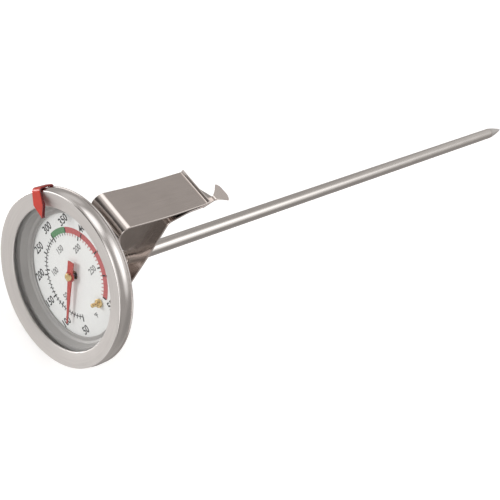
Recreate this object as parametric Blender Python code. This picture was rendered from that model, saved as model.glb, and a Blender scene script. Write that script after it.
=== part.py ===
"""Dial thermometer with a long probe stem, a rim marker and a sliding pan clip.

The stem runs along +Y, away from the dial, and +Z is the side the pan clip stands on.
The origin is the centre of the lens's front face, on the stem's axis. Lengths below are in
millimetres and become metres when a mesh is made; depths are measured along +Y from the lens face.
"""
import math

import bmesh
import bpy
from mathutils import Matrix, Vector

MM = 0.001
GAP = 0.3
RING_STEPS = 48
ROD_STEPS = 24

# Head
BEZEL_RADIUS = 30.0
OPENING_RADIUS = 24.2
SHEET = 0.5
BEZEL_FRONT = -1.8
BEZEL_BACK = 3.8
BEZEL_LIP_RADIUS = 27.4
BEZEL_HEM = 0.36
BEZEL_HEM_DEPTH = -0.48
BEZEL_FOLD = 0.55
BEZEL_FOLD_INSET = 0.8
BEZEL_CROWN = 6.5
BEZEL_CROWN_DEPTH = 1.2
BEZEL_CROWN_HALF_ANGLE = 18.4
BEZEL_BEAD = 0.32
BEZEL_BEAD_INSET = 0.34
LENS_RADIUS = 25.4
LENS_THICKNESS = 1.5
LENS_CENTRE_RADIUS = 3.0
LENS_FACE_RADIUS = 24.0
GASKET_RADIUS = 28.2
SPACER_FRONT = LENS_THICKNESS + GAP
SPACER_SHEET = 0.4
SPACER_RADIUS = 28.6
CASE_LIP = 2.5
CASE_LIP_RADIUS = 29.1
CASE_RADIUS = 25.0
CASE_CORNER = 3.2
CASE_BACK = 7.1
CASE_SHEET = 0.45
DIAL_RADIUS = 23.2
DIAL_FRONT = 5.5
DIAL_THICKNESS = 0.4
DIAL_HOLE_RADIUS = 1.5
VISIBLE_DIAL_RADIUS = 21.0

# Scale and pointer, as angles from +X towards +Z
SCALE_TOP_ANGLE = 168.0
SCALE_TOP_VALUE = 300.0
DEGREES_PER_UNIT = 0.6
SHOWN_VALUE = 88.0
POINTER_ANGLE = SCALE_TOP_ANGLE + (SCALE_TOP_VALUE - SHOWN_VALUE) * DEGREES_PER_UNIT
POINTER_FRONT = 3.45
POINTER_SHEET = 0.4
POINTER_LENGTH = 17.6
POINTER_TAIL = 5.3
POINTER_TAIL_HALF_WIDTH = 1.3
POINTER_EYE_RADIUS = 1.9
POINTER_HOLE_RADIUS = 1.05
HUB_FRONT = 2.45
SHAFT_RADIUS = 0.6
STOP_PIN_ANGLE = 6.0
STOP_PIN_RADIUS = 13.6
STOP_PIN_FRONT = 2.1

# Stem
STEM_RADIUS = 2.5
STEM_BORE = 2.0
STEM_START = 6.5
GUIDE_LENGTH = 3.0
STEM_POINT = 294.6
CONE_LENGTH = 12.2
COLLAR_END = 9.5
COIL_HUB_START = 231.3
COIL_START = 233.6
COIL_TURNS = 15
COIL_PITCH = 2.6
COIL_RADIUS = 1.6
COIL_STRIP = 1.3
COIL_SHEET = 0.3

# Rim marker
MARKER_ANGLE = 138.0
MARKER_THICKNESS = 1.2
MARKER_HOOK_THICKNESS = 0.55
MARKER_POINT_RADIUS = 21.0
MARKER_ARROW = 4.2
MARKER_FOLD = 8.4
MARKER_TIP_HALF_WIDTH = 0.15
MARKER_HALF_WIDTH = 2.4
MARKER_FOLD_HALF_WIDTH = 2.05
MARKER_HOOK_HALF_WIDTH = 1.25
MARKER_LEAN = 0.14
MARKER_HOOK_END_RADIUS = 28.6

# Pan clip
CLIP_WIDTH = 15.1
CLIP_SHEET = 0.7
CLIP_TAPER_LENGTH = 18.5
CLIP_NECK_HALF_WIDTH = 0.9
CLIP_TAB_LENGTH = 4.8
CLIP_TAB_HALF_WIDTH = 3.9
CLIP_TAB_ROUNDING = 1.0
CLIP_HOLE = STEM_RADIUS + GAP


def clear_scene():
    """Remove every object that the file already holds."""
    for thing in list(bpy.data.objects):
        bpy.data.objects.remove(thing, do_unlink=True)


def make_material(name, colour, metallic, roughness, transmission=0.0):
    """A Principled material."""
    material = bpy.data.materials.new(name)
    material.use_nodes = True
    shader = material.node_tree.nodes["Principled BSDF"]
    shader.inputs["Base Color"].default_value = (*colour, 1.0)
    shader.inputs["Metallic"].default_value = metallic
    shader.inputs["Roughness"].default_value = roughness
    shader.inputs["Transmission Weight"].default_value = transmission
    return material


def add_object(name, mesh_builder, material, sharp_angle=30.0):
    """Finish a bmesh as a named object with outward faces and smooth round stretches."""
    bmesh.ops.recalc_face_normals(mesh_builder, faces=mesh_builder.faces)
    mesh = bpy.data.meshes.new(name)
    mesh_builder.to_mesh(mesh)
    mesh_builder.free()
    mesh.shade_smooth()
    mesh.set_sharp_from_angle(angle=math.radians(sharp_angle))
    mesh.materials.append(material)
    thing = bpy.data.objects.new(name, mesh)
    bpy.context.collection.objects.link(thing)
    return thing


def arc(centre, radius, start, end, steps):
    """Points of an arc in a flat outline, from one angle to another in degrees."""
    points = []
    for index in range(steps + 1):
        angle = math.radians(start + (end - start) * index / steps)
        points.append((centre[0] + radius * math.cos(angle), centre[1] + radius * math.sin(angle)))
    return points


def turned(name, outline, material, steps=RING_STEPS):
    """Spin a closed outline of (radius, depth) points around the Y axis."""
    builder = bmesh.new()
    corners = [builder.verts.new((radius * MM, depth * MM, 0.0)) for radius, depth in outline]
    edges = []
    for start, end in zip(corners, corners[1:] + corners[:1]):
        edges.append(builder.edges.new((start, end)))
    bmesh.ops.spin(builder, geom=corners + edges, cent=(0, 0, 0), axis=(0, 1, 0),
                   angle=math.tau, steps=steps, use_merge=True)
    bmesh.ops.remove_doubles(builder, verts=builder.verts, dist=0.000001)
    bmesh.ops.dissolve_degenerate(builder, edges=builder.edges, dist=0.000001)
    return add_object(name, builder, material)


def tube_outline(inner, outer, start, end):
    """The outline of a plain tube."""
    return [(inner, start), (outer, start), (outer, end), (inner, end)]


def rod_outline(profile):
    """Close a rod's outer profile, given front to back, along the axis."""
    return [(0.0, profile[0][1])] + profile + [(0.0, profile[-1][1])]


def rounded_path(corners, steps=6):
    """Points of a polyline whose corners given as (a, b, radius) are arcs, the rest as they are."""
    points = [Vector(corners[0][:2])]
    for before, corner, after in zip(corners, corners[1:], corners[2:]):
        here = Vector(corner[:2])
        if len(corner) == 2:
            points.append(here)
            continue
        inward = (Vector(before[:2]) - here).normalized()
        outward = (Vector(after[:2]) - here).normalized()
        half_opening = inward.angle(outward) / 2
        reach = corner[2] / math.tan(half_opening)
        centre = here + (inward + outward).normalized() * corner[2] / math.sin(half_opening)
        first = here + inward * reach - centre
        turn = first.angle_signed(here + outward * reach - centre)
        for index in range(steps + 1):
            points.append(centre + Matrix.Rotation(-turn * index / steps, 2) @ first)
    points.append(Vector(corners[-1][:2]))
    return points


def path_lengths(points):
    """Distance along a path at each of its points."""
    lengths = [0.0]
    for start, end in zip(points, points[1:]):
        lengths.append(lengths[-1] + (end - start).length)
    return lengths


def lofted_strip(name, points, sections, axes, material):
    """A strip that follows a flat path.

    sections holds, for each point, the strip's outline there as (across, offset) pairs, where offset
    is the distance off the path. axes are the world directions of the path's first and second
    coordinates and of the strip's width.
    """
    first_axis, second_axis, width_axis = (Vector(axis) for axis in axes)
    builder = bmesh.new()
    rings = []
    for index, point in enumerate(points):
        before = points[max(index - 1, 0)]
        after = points[min(index + 1, len(points) - 1)]
        incoming = (point - before).normalized() if index else (after - point).normalized()
        outgoing = (after - point).normalized() if point != after else incoming
        along = (incoming + outgoing).normalized()
        stretch = 1.0 / max(along.dot(incoming), 0.5)
        side = Vector((-along.y, along.x)) * stretch
        ring = []
        for across, offset in sections[index]:
            spot = point + side * offset
            place = first_axis * spot.x + second_axis * spot.y + width_axis * across
            ring.append(builder.verts.new(place * MM))
        rings.append(ring)
    for ring, following in zip(rings, rings[1:]):
        for index in range(len(ring)):
            other = (index + 1) % len(ring)
            builder.faces.new((ring[index], ring[other], following[other], following[index]))
    builder.faces.new(rings[0])
    builder.faces.new(rings[-1])
    return add_object(name, builder, material)


def place_on_dial(thing, radius, angle):
    """Stand a piece on the dial at a radius and an angle."""
    turn = math.radians(angle)
    thing.location = (radius * math.cos(turn) * MM, 0.0, radius * math.sin(turn) * MM)


def turn_to(thing, angle):
    """Turn a piece that was made pointing along +X to an angle on the dial."""
    thing.rotation_euler = (0.0, -math.radians(angle), 0.0)


def make_bezel(steel):
    """Front ring: rolled opening, flat face, tight fold, crowned side and a bead at the back."""
    wall = BEZEL_RADIUS - SHEET - 0.2
    lip_front = BEZEL_BACK - SHEET
    hem_centre = (OPENING_RADIUS + BEZEL_HEM, BEZEL_HEM_DEPTH)
    fold_centre = (BEZEL_RADIUS - BEZEL_FOLD_INSET, BEZEL_FRONT + BEZEL_FOLD)
    crown_centre = (BEZEL_RADIUS - BEZEL_CROWN, BEZEL_CROWN_DEPTH)
    bead_centre = (BEZEL_RADIUS - BEZEL_BEAD_INSET, BEZEL_BACK - BEZEL_BEAD)
    outline = arc(hem_centre, BEZEL_HEM, 180, 262, 3)
    outline += arc(fold_centre, BEZEL_FOLD, -98, -38, 3)
    outline += arc(crown_centre, BEZEL_CROWN, -BEZEL_CROWN_HALF_ANGLE, BEZEL_CROWN_HALF_ANGLE, 5)
    outline += arc(bead_centre, BEZEL_BEAD, -50, 90, 4)
    outline += [
        (BEZEL_LIP_RADIUS, BEZEL_BACK),
        (BEZEL_LIP_RADIUS, lip_front),
        (wall - 0.2, lip_front),
        (wall, lip_front - 0.4),
        (wall, BEZEL_FRONT + 1.4),
        (wall - 0.9, BEZEL_FRONT + SHEET),
        (OPENING_RADIUS + BEZEL_HEM, -GAP),
        (OPENING_RADIUS, -GAP),
    ]
    return turned("bezel_ring", outline, steel)


def make_lens(glass):
    """Flat window with a ground edge, and a small disc of its own around the origin."""
    front = [(LENS_CENTRE_RADIUS, 0.0), (LENS_FACE_RADIUS, 0.0), (LENS_RADIUS, GAP)]
    outline = rod_outline(front + [(LENS_RADIUS, LENS_THICKNESS)])
    return turned("lens", outline, glass)


def make_lens_gasket(rubber):
    """Seal around the window's edge."""
    outline = tube_outline(LENS_RADIUS + GAP, GASKET_RADIUS, 0.0, LENS_THICKNESS)
    return turned("lens_gasket", outline, rubber)


def make_spacer_ring(aluminium):
    """Sloping inner wall that holds the window off the dial plate."""
    lip_back = DIAL_FRONT - GAP
    outline = [
        (SPACER_RADIUS, SPACER_FRONT),
        (23.7, SPACER_FRONT),
        (22.8, 4.4),
        (22.4, 4.75),
        (VISIBLE_DIAL_RADIUS, 4.85),
        (VISIBLE_DIAL_RADIUS, lip_back),
        (22.6, lip_back),
        (23.2, 4.6),
        (24.1, SPACER_FRONT + SPACER_SHEET),
        (SPACER_RADIUS, SPACER_FRONT + SPACER_SHEET),
    ]
    return turned("spacer_ring", outline, aluminium)


def make_dial_plate(enamel):
    """Printed plate with a hole for the pointer's shaft."""
    outline = tube_outline(DIAL_HOLE_RADIUS, DIAL_RADIUS, DIAL_FRONT, DIAL_FRONT + DIAL_THICKNESS)
    return turned("dial_plate", outline, enamel)


def make_case_cup(steel):
    """Pressed cup with a lip for the bezel and a bead that carries the dial plate."""
    corner_radius = CASE_RADIUS - CASE_CORNER
    corner_depth = CASE_BACK - CASE_CORNER
    inner_back = CASE_BACK - CASE_SHEET
    lip_back = CASE_LIP + CASE_SHEET
    bead_top = DIAL_FRONT + DIAL_THICKNESS + GAP
    outline = [(CASE_LIP_RADIUS, CASE_LIP), (CASE_RADIUS - CASE_SHEET, CASE_LIP)]
    outline += arc((corner_radius, corner_depth), CASE_CORNER - CASE_SHEET, 0, 90, 5)
    outline += [(20.6, inner_back), (20.2, bead_top), (18.8, bead_top), (18.4, inner_back)]
    outline += [(3.4, inner_back), (3.4, CASE_BACK)]
    outline += [(18.7, CASE_BACK), (19.1, inner_back), (19.9, inner_back), (20.3, CASE_BACK)]
    outline += arc((corner_radius, corner_depth), CASE_CORNER, 90, 0, 5)
    outline += [(CASE_RADIUS, lip_back), (CASE_LIP_RADIUS, lip_back)]
    return turned("case_cup", outline, steel)


def make_stem_collar(steel):
    """Flanged bush that joins the stem to the case's back."""
    bore = STEM_RADIUS + GAP
    outline = [
        (bore, 6.3),
        (3.1, 6.3),
        (3.1, CASE_BACK + GAP),
        (4.2, CASE_BACK + GAP),
        (4.2, COLLAR_END - 0.5),
        (3.7, COLLAR_END),
        (bore, COLLAR_END),
    ]
    return turned("stem_collar", outline, steel, 32)


def make_stem(steel, dark_steel):
    """Probe tube and the pointed plug that closes it."""
    cone_start = STEM_POINT - CONE_LENGTH
    tube = tube_outline(STEM_BORE, STEM_RADIUS, STEM_START, cone_start - GAP)
    turned("stem_tube", tube, steel, 32)
    plug = [
        (STEM_BORE - GAP, cone_start - 6.8),
        (STEM_BORE - GAP, cone_start),
        (STEM_RADIUS, cone_start),
        (STEM_RADIUS - 0.15, cone_start + 1.5),
        (0.45, STEM_POINT - 0.4),
        (0.2, STEM_POINT),
    ]
    turned("stem_tip", rod_outline(plug), dark_steel, 32)


def make_shaft_guides(brass):
    """Two bushes in the stem that the pointer's shaft turns in."""
    starts = {"upper_shaft_guide": 6.9, "lower_shaft_guide": COIL_START - 14.0}
    for name, start in starts.items():
        outline = tube_outline(SHAFT_RADIUS + GAP, STEM_BORE - GAP, start, start + GUIDE_LENGTH)
        turned(name, outline, brass, ROD_STEPS)


def make_bimetal_coil(bimetal):
    """Flat strip wound as a helix; its far end is fixed and its near end turns the shaft."""
    steps_per_turn = 16
    builder = bmesh.new()
    rings = []
    for index in range(COIL_TURNS * steps_per_turn + 1):
        angle = math.tau * index / steps_per_turn
        depth = COIL_START + COIL_PITCH * index / steps_per_turn
        ring = []
        for radius, offset in tube_outline(COIL_RADIUS - COIL_SHEET, COIL_RADIUS, 0.0, COIL_STRIP):
            spot = (radius * math.cos(angle), depth + offset, radius * math.sin(angle))
            ring.append(builder.verts.new(Vector(spot) * MM))
        rings.append(ring)
    for ring, following in zip(rings, rings[1:]):
        for index in range(4):
            other = (index + 1) % 4
            builder.faces.new((ring[index], ring[other], following[other], following[index]))
    builder.faces.new(rings[0])
    builder.faces.new(rings[-1])
    return add_object("bimetal_coil", builder, bimetal)


def make_coil_fittings(brass):
    """Solid ends that the coil is welded to: one on the shaft, one held in the stem."""
    coil_end = COIL_START + COIL_TURNS * COIL_PITCH + COIL_STRIP
    spans = {
        "coil_hub": (COIL_HUB_START, COIL_START - GAP),
        "coil_anchor": (coil_end + GAP, coil_end + 1.4),
    }
    for name, (start, end) in spans.items():
        turned(name, rod_outline([(1.5, start), (1.5, end)]), brass, ROD_STEPS)


def make_pointer_shaft(steel):
    """Thin rod from the pointer's hub down to the coil."""
    profile = [(SHAFT_RADIUS, 4.8), (SHAFT_RADIUS, COIL_HUB_START - GAP)]
    return turned("pointer_shaft", rod_outline(profile), steel, 16)


def make_pointer_hub(brass):
    """Headed bush that clamps the pointer on its shaft."""
    head_back = POINTER_FRONT - GAP
    profile = [
        (1.0, HUB_FRONT),
        (1.35, HUB_FRONT + 0.25),
        (1.35, head_back),
        (0.75, head_back),
        (0.75, 4.5),
    ]
    return turned("pointer_hub", rod_outline(profile), brass, ROD_STEPS)


def make_pointer(red):
    """Flat pointer with a wide tail, a round eye and a long taper."""
    half_tail = POINTER_TAIL_HALF_WIDTH
    outline = [(-POINTER_TAIL, half_tail), (-POINTER_TAIL, -half_tail)]
    outline += arc((0, 0), POINTER_EYE_RADIUS, -137, -30, 6)
    outline += [(POINTER_LENGTH - 0.4, -0.2), (POINTER_LENGTH, 0.0), (POINTER_LENGTH - 0.4, 0.2)]
    outline += arc((0, 0), POINTER_EYE_RADIUS, 30, 137, 6)
    builder = bmesh.new()
    corners = [builder.verts.new((x * MM, POINTER_FRONT * MM, z * MM)) for x, z in outline]
    face = builder.faces.new(corners)
    swept = bmesh.ops.extrude_face_region(builder, geom=[face])
    moved = [part for part in swept["geom"] if isinstance(part, bmesh.types.BMVert)]
    bmesh.ops.translate(builder, verts=moved, vec=(0.0, POINTER_SHEET * MM, 0.0))
    pointer = add_object("pointer", builder, red)
    cutter = [(POINTER_HOLE_RADIUS, POINTER_FRONT - 0.45), (POINTER_HOLE_RADIUS, POINTER_FRONT + 0.85)]
    hole = turned("pointer_hole_cutter", rod_outline(cutter), red, ROD_STEPS)
    cut_with(pointer, hole)
    turn_to(pointer, POINTER_ANGLE)
    return pointer


def cut_with(thing, cutter):
    """Cut one object with another, which stays hidden as a guide."""
    cutter.hide_render = True
    cutter.display_type = "WIRE"
    boolean = thing.modifiers.new("cut", "BOOLEAN")
    boolean.operation = "DIFFERENCE"
    boolean.solver = "EXACT"
    boolean.object = cutter


def make_stop_pin(brass):
    """Upright pin that the pointer stops against."""
    profile = [
        (0.4, STOP_PIN_FRONT),
        (0.7, STOP_PIN_FRONT + 0.3),
        (0.7, 4.4),
        (1.5, 4.7),
        (1.5, DIAL_FRONT - GAP),
    ]
    pin = turned("stop_pin", rod_outline(profile), brass, 20)
    place_on_dial(pin, STOP_PIN_RADIUS, STOP_PIN_ANGLE)
    return pin


def marker_half_width(length):
    """Half of the rim marker's width, by the distance to its point."""
    if length <= MARKER_ARROW:
        return max(MARKER_HALF_WIDTH * length / MARKER_ARROW, MARKER_TIP_HALF_WIDTH)
    if length <= MARKER_FOLD:
        share = (length - MARKER_ARROW) / (MARKER_FOLD - MARKER_ARROW)
        return MARKER_HALF_WIDTH + (MARKER_FOLD_HALF_WIDTH - MARKER_HALF_WIDTH) * share
    share = min((length - MARKER_FOLD) / MARKER_FOLD, 1.0)
    return MARKER_FOLD_HALF_WIDTH + (MARKER_HOOK_HALF_WIDTH - MARKER_FOLD_HALF_WIDTH) * share


def make_rim_marker(red_plastic):
    """Thick snap-on arrow that hooks over the bezel, a little askew, and slides round it."""
    inner_front = BEZEL_FRONT - GAP
    inner_side = BEZEL_RADIUS + GAP + 0.05
    inner_back = BEZEL_BACK + GAP + 0.05
    corners = [
        (MARKER_POINT_RADIUS, inner_front),
        (MARKER_POINT_RADIUS + MARKER_ARROW, inner_front),
        (28.2, inner_front),
        (inner_side, inner_front, 1.0),
        (inner_side, inner_back, 0.5),
        (MARKER_HOOK_END_RADIUS, inner_back),
    ]
    points = rounded_path(corners, 4)
    sections = []
    for length in path_lengths(points):
        width = marker_half_width(length)
        share = min(max(length - MARKER_ARROW, 0.0) / (MARKER_FOLD - MARKER_ARROW), 1.0)
        thickness = MARKER_THICKNESS + (MARKER_HOOK_THICKNESS - MARKER_THICKNESS) * share
        middle = (length - MARKER_FOLD) * MARKER_LEAN
        left = middle - width
        right = middle + width
        sections.append([(left, 0.0), (right, 0.0), (right, -thickness), (left, -thickness)])
    axes = ((1, 0, 0), (0, 1, 0), (0, 0, 1))
    marker = lofted_strip("rim_marker", points, sections, axes, red_plastic)
    turn_to(marker, MARKER_ANGLE)
    return marker


def clip_corners():
    """Corners of the pan clip's bent strip as (depth, height, bend radius)."""
    return [
        (45.3, 30.5),
        (45.0, 29.45, 0.7),
        (26.2, 28.9, 200.0),
        (5.0, 30.0, 3.0),
        (9.6, 20.8, 6.0),
        (11.2, -7.5, 1.8),
        (26.6, -7.5, 1.8),
        (28.15, 9.0, 60.0),
        (28.95, 25.2, 1.6),
        (36.7, 27.8, 12.0),
        (43.4, 28.3, 2.5),
        (60.5, 19.2, 1.6),
        (64.2, 22.25),
    ]


def clip_half_width(from_end):
    """Half of the strip's width, by the distance to the thumb tab's end."""
    full = CLIP_WIDTH / 2
    neck = CLIP_NECK_HALF_WIDTH
    flare = CLIP_TAB_HALF_WIDTH
    crown = CLIP_TAB_ROUNDING
    if from_end >= CLIP_TAB_LENGTH + CLIP_TAPER_LENGTH:
        return full
    if from_end >= CLIP_TAB_LENGTH:
        return neck + (full - neck) * (from_end - CLIP_TAB_LENGTH) / CLIP_TAPER_LENGTH
    if from_end >= crown:
        return neck + (flare - neck) * ((CLIP_TAB_LENGTH - from_end) / (CLIP_TAB_LENGTH - crown)) ** 1.6
    return flare * math.sqrt(max(1.0 - ((crown - from_end) / (crown + 0.15)) ** 2, 0.0))


def split_long_steps(points, start, largest):
    """Add points from one index on, so that no step is longer than the largest."""
    result = list(points[:start + 1])
    for before, after in zip(points[start:], points[start + 1:]):
        pieces = max(1, math.ceil((after - before).length / largest))
        for index in range(1, pieces + 1):
            result.append(before.lerp(after, index / pieces))
    return result


def make_pan_clip(steel):
    """One bent spring strip: plate, two legs with stem holes, pressing strip and thumb tab."""
    bend_steps = 5
    points = rounded_path(clip_corners(), bend_steps)
    tab_start = len(points) - 2
    points = split_long_steps(points, tab_start, 0.5)
    lengths = path_lengths(points)
    half_sheet = CLIP_SHEET / 2
    sections = []
    for length in lengths:
        width = clip_half_width(lengths[-1] - length)
        sections.append([
            (-width, -half_sheet), (width, -half_sheet), (width, half_sheet), (-width, half_sheet),
        ])
    axes = ((0, 1, 0), (0, 0, 1), (1, 0, 0))
    clip = lofted_strip("pan_clip", points, sections, axes, steel)
    hole = turned("stem_hole_cutter", rod_outline([(CLIP_HOLE, 8.0), (CLIP_HOLE, 32.0)]), steel, 32)
    cut_with(clip, hole)
    return clip


def main():
    """Build every piece."""
    clear_scene()
    steel = make_material("brushed_steel", (0.60, 0.58, 0.56), 1.0, 0.32)
    dark_steel = make_material("ground_steel", (0.50, 0.49, 0.48), 1.0, 0.38)
    aluminium = make_material("satin_aluminium", (0.62, 0.62, 0.61), 1.0, 0.45)
    glass = make_material("clear_glass", (1.0, 1.0, 1.0), 0.0, 0.02, 1.0)
    rubber = make_material("seal_rubber", (0.03, 0.03, 0.03), 0.0, 0.7)
    enamel = make_material("white_enamel", (0.85, 0.86, 0.85), 0.0, 0.4)
    brass = make_material("brass", (0.78, 0.58, 0.28), 1.0, 0.3)
    bimetal = make_material("bimetal_strip", (0.45, 0.42, 0.40), 1.0, 0.4)
    red = make_material("red_paint", (0.65, 0.06, 0.05), 0.0, 0.35)
    red_plastic = make_material("red_plastic", (0.70, 0.04, 0.03), 0.0, 0.2)
    make_bezel(steel)
    make_lens(glass)
    make_lens_gasket(rubber)
    make_spacer_ring(aluminium)
    make_dial_plate(enamel)
    make_case_cup(steel)
    make_stem_collar(steel)
    make_stem(steel, dark_steel)
    make_shaft_guides(brass)
    make_bimetal_coil(bimetal)
    make_coil_fittings(brass)
    make_pointer_shaft(steel)
    make_pointer_hub(brass)
    make_pointer(red)
    make_stop_pin(brass)
    make_rim_marker(red_plastic)
    make_pan_clip(steel)


main()
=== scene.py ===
"""Looks of the dial thermometer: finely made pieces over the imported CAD, materials, lights, camera.

The stem runs along +Y, away from the dial, +Z is the pan clip's side, and the origin is the centre of
the lens's front face. Lengths below are in millimetres; angles on the dial run from +X towards +Z.
"""
import math

import bmesh
import bpy
from mathutils import Matrix, Vector


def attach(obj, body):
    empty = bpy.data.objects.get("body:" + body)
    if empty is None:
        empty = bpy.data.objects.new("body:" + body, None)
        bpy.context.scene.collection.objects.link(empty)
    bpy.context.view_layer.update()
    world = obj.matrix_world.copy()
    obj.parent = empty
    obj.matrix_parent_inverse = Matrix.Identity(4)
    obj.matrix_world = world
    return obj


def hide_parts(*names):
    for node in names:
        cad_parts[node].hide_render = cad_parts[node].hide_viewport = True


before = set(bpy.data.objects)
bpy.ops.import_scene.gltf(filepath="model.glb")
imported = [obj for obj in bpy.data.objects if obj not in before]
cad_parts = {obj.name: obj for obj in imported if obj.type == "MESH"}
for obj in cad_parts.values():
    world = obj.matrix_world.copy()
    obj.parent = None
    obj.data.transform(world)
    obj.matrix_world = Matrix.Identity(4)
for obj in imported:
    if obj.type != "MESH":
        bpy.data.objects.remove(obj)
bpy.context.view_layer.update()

MM = 0.001
GAP = 0.3
HEAD_STEPS = 192
ROD_STEPS = 64

# Head
BEZEL_RADIUS = 30.0
BEZEL_FRONT = -1.8
BEZEL_BACK = 3.8
BEZEL_LIP_RADIUS = 27.4
BEZEL_HEM = 0.36
BEZEL_HEM_DEPTH = -0.48
BEZEL_FOLD = 0.55
BEZEL_FOLD_INSET = 0.8
BEZEL_CROWN = 6.5
BEZEL_CROWN_DEPTH = 1.2
BEZEL_CROWN_HALF_ANGLE = 18.4
BEZEL_BEAD = 0.32
BEZEL_BEAD_INSET = 0.34
OPENING_RADIUS = 24.2
SHEET = 0.5
LENS_FACE_RADIUS = 24.0
LENS_RADIUS = 25.4
LENS_THICKNESS = 1.5
SPACER_RADIUS = 28.6
SPACER_SHEET = 0.4
CASE_LIP = 2.5
CASE_LIP_RADIUS = 29.1
CASE_RADIUS = 25.0
CASE_CORNER = 3.2
CASE_BACK = 7.1
CASE_SHEET = 0.45
DIAL_RADIUS = 23.2
DIAL_FRONT = 5.5
DIAL_THICKNESS = 0.4
DIAL_HOLE_RADIUS = 1.5
VISIBLE_DIAL_RADIUS = 21.0

# Printed scale: Fahrenheit outside the thin circle, Celsius inside it
SCALE_TOP_ANGLE = 168.0
SCALE_TOP_VALUE = 300.0
DEGREES_PER_UNIT = 0.6
SCALE_START = 50
SCALE_END = 550
SCALE_RADIUS = 14.2
SCALE_LINE_HALF_WIDTH = 0.15
OUTER_TICK = 0.95
OUTER_WHOLE_TICK = 1.6
INNER_TICK = 0.85
INNER_WHOLE_TICK = 1.5
TICK_WIDTH = 0.32
WHOLE_TICK_WIDTH = 0.5
CELSIUS_START = 10
CELSIUS_END = 285
BAND_OUTER_RADIUS = 16.2
BAND_STEP = 1.5
GREEN_START = 300
GREEN_END = 350
OUTER_NUMBERS_RADIUS = 18.6
OUTER_NUMBERS_HEIGHT = 2.8
INNER_NUMBERS_RADIUS = 9.9
INNER_NUMBERS_HEIGHT = 2.2
UNIT_MARK_RADIUS = 15.2
UNIT_MARK_ANGLE = -14.0
UNIT_MARK_HEIGHT = 1.8
TEXT_BOLDNESS = 0.02
TEXT_NARROWING = 0.86
PRINT_LIFT = 0.03

# Pointer and stop pin
SHOWN_VALUE = 88.0
POINTER_FRONT = 3.45
POINTER_SHEET = 0.4
POINTER_LENGTH = 17.6
POINTER_TAIL = 5.3
POINTER_TAIL_HALF_WIDTH = 1.3
POINTER_EYE_RADIUS = 1.9
POINTER_HOLE_RADIUS = 1.05
HUB_FRONT = 2.45
STOP_PIN_ANGLE = 6.0
STOP_PIN_RADIUS = 13.6
STOP_PIN_FRONT = 2.1

# Stem
STEM_RADIUS = 2.5
STEM_BORE = 2.0
STEM_START = 6.5
STEM_POINT = 294.6
CONE_LENGTH = 12.2
SHOULDER_LENGTH = 1.5
BLUNT_LENGTH = 0.4
BLUNT_RADIUS = 0.45
COLLAR_END = 9.5

# Rim marker
MARKER_ANGLE = 138.0
MARKER_THICKNESS = 1.2
MARKER_HOOK_THICKNESS = 0.55
MARKER_POINT_RADIUS = 21.0
MARKER_ARROW = 4.2
MARKER_FOLD = 8.4
MARKER_HALF_WIDTH = 2.4
MARKER_FOLD_HALF_WIDTH = 2.05
MARKER_HOOK_HALF_WIDTH = 1.25
MARKER_LEAN = 0.14
MARKER_PLAY = 0.15
MARKER_HOOK_END_RADIUS = 28.6
MARKER_EDGE = 0.16
MARKER_STEP = 0.5

# Pan clip
CLIP_WIDTH = 15.1
CLIP_SHEET = 0.7
CLIP_HOLE = 2.8
CLIP_HOLE_SPAN = (8.0, 32.0)
CLIP_TAPER_LENGTH = 18.5
CLIP_NECK_HALF_WIDTH = 0.9
CLIP_TAB_LENGTH = 4.8
CLIP_TAB_HALF_WIDTH = 3.9
CLIP_TAB_ROUNDING = 1.0
CLIP_TAB_FLARE_POWER = 1.6
CLIP_TAB_BLUNTNESS = 0.15
CLIP_EDGE = 0.12
CLIP_STEP = 1.2
CLIP_TAB_STEP = 0.15
CLIP_TAB_POINTS = 6

# Camera and light
CAMERA_PLACE = (0.1355, -0.1937, 0.2376)
CAMERA_TURN = (46.315, -25.742, 46.462)
CAMERA_LENS = 73.7
SENSOR_WIDTH = 36.0
FLOOR_HEIGHT = -0.0312
FLOOR_GLOW = 0.5
KEY_LIGHT_DIRECTION = (-0.52, -0.85, 0.1)
KEY_LIGHT_DISTANCE = 1.2
KEY_LIGHT_SIZE = 0.35
KEY_LIGHT_POWER = 7.1

# Studio that the metal reflects: an even grey, and soft patches, each with its direction, the inner
# and outer angle of its fading edge, and what it adds to the grey
STUDIO_GREY = 0.42
STUDIO_DARKEST = 0.02
STUDIO_TINT = (1.0, 0.955, 0.915)
STUDIO_PATCHES = (
    ((0.25, 0.62, 0.74), 4.0, 22.0, 0.75),
    ((0.45, 0.62, 0.64), 4.0, 22.0, 0.8),
    ((0.66, 0.62, 0.42), 4.0, 20.0, 0.5),
    ((0.62, 0.7, -0.33), 8.0, 30.0, -0.1),
    ((-0.45, -0.52, -0.72), 20.0, 66.0, 0.42),
    ((-0.32, 0.72, -0.62), 8.0, 32.0, -0.25),
    ((-0.38, 0.14, 0.91), 8.0, 26.0, 1.1),
    ((-0.3, -0.5, 0.8), 5.0, 25.0, 0.2),
    ((-0.43, -0.8, 0.4), 16.0, 32.0, -0.36),
    ((-0.86, -0.3, -0.41), 4.0, 13.0, 9.0),
    ((-0.9, -0.4, 0.1), 8.0, 30.0, 1.5),
    ((0.85, -0.5, -0.15), 8.0, 28.0, 1.1),
    ((0.3, -0.8, 0.5), 8.0, 25.0, 0.9),
    ((0.62, -0.77, 0.1), 6.0, 24.0, 1.0),
    ((-0.05, 0.97, 0.2), 10.0, 34.0, 0.3),
    ((-0.83, 0.42, 0.34), 6.0, 19.0, 0.3),
)


# ---------------------------------------------------------------- materials

def new_material(name, colour, metallic, roughness):
    """A Principled material, its node tree and its shader."""
    material = bpy.data.materials.new(name)
    material.use_nodes = True
    shader = material.node_tree.nodes["Principled BSDF"]
    shader.inputs["Base Color"].default_value = (*colour, 1.0)
    shader.inputs["Metallic"].default_value = metallic
    shader.inputs["Roughness"].default_value = roughness
    return material, material.node_tree, shader


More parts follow.
